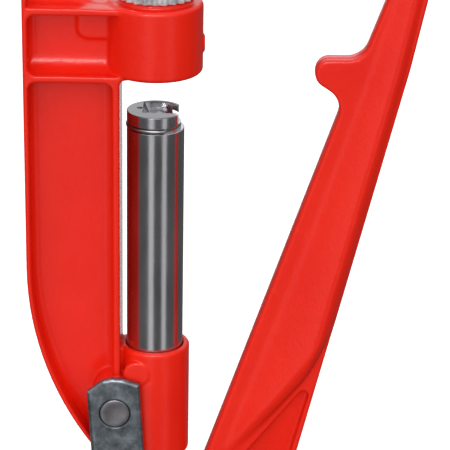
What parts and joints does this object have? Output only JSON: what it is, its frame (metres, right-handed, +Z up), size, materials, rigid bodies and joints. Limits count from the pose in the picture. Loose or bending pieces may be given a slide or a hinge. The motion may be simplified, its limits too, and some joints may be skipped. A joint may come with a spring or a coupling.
{
  "type": "hand lever punch press",
  "caption": "Hand-lever press tool: a cast C-frame with a die collar, a round ram raised by a forked lever on link plates, and a long handle with a stop hook.",
  "frame": {"origin": "centre of the object's box in plan, at its lowest point (the lever's elbow)", "axes": "+Z up along the ram axis towards the collar and the grips, +X from the C-frame towards the lever, the visible link plate faces -Y"},
  "size_m": [0.264, 0.055, 0.5282],
  "materials": {
    "red_paint": "glossy red enamel over a cast skin",
    "zinc_plate": "blue zinc plate",
    "ground_steel": "cylindrically ground and oiled steel",
    "spring_steel": "dark spring steel",
    "bearing_bronze": "plain bearing bronze"
  },
  "bodies": {
    "frame": {"frame_casting": "red_paint", "ring_nut": "zinc_plate", "die_insert": "ground_steel", "die_lock_screw": "spring_steel", "ram_bush_upper": "bearing_bronze", "ram_bush_lower": "bearing_bronze", "frame_pin_front": "zinc_plate", "frame_pin_rear": "zinc_plate"},
    "ram": {"ram": "ground_steel", "ram_snap_ring": "spring_steel"},
    "links": {"link_plate_front": "zinc_plate", "link_plate_rear": "zinc_plate", "link_pin": "zinc_plate", "link_washer_front": "zinc_plate", "link_washer_rear": "zinc_plate"},
    "lever": {"lever_casting": "red_paint", "ram_pin": "ground_steel", "ram_pin_bush_front": "bearing_bronze", "ram_pin_bush_rear": "bearing_bronze", "link_pin_bush_front": "bearing_bronze", "link_pin_bush_rear": "bearing_bronze"}
  },
  "joints": [
    {"name": "ram_slide", "type": "slide", "parent": "frame", "child": "ram", "axis": [0, 0, 1], "range_m": [-0.0097, 0.004]},
    {"name": "lever_swing", "type": "hinge", "parent": "ram", "child": "lever", "pos_m": [-0.05635, 0, 0.0321], "axis": [0, -1, 0], "range_deg": [-30, 12.2]},
    {"name": "link_swing", "type": "hinge", "parent": "frame", "child": "links", "pos_m": [-0.07945, 0, 0.0954], "axis": [0, -1, 0], "range_deg": [-0.6, 1.4]}
  ],
  "couplings": [
    {"joint": "ram_slide", "follows": "lever_swing", "m_per_rad": 0.01835},
    {"joint": "link_swing", "follows": "lever_swing", "ratio": -0.0433}
  ]
}
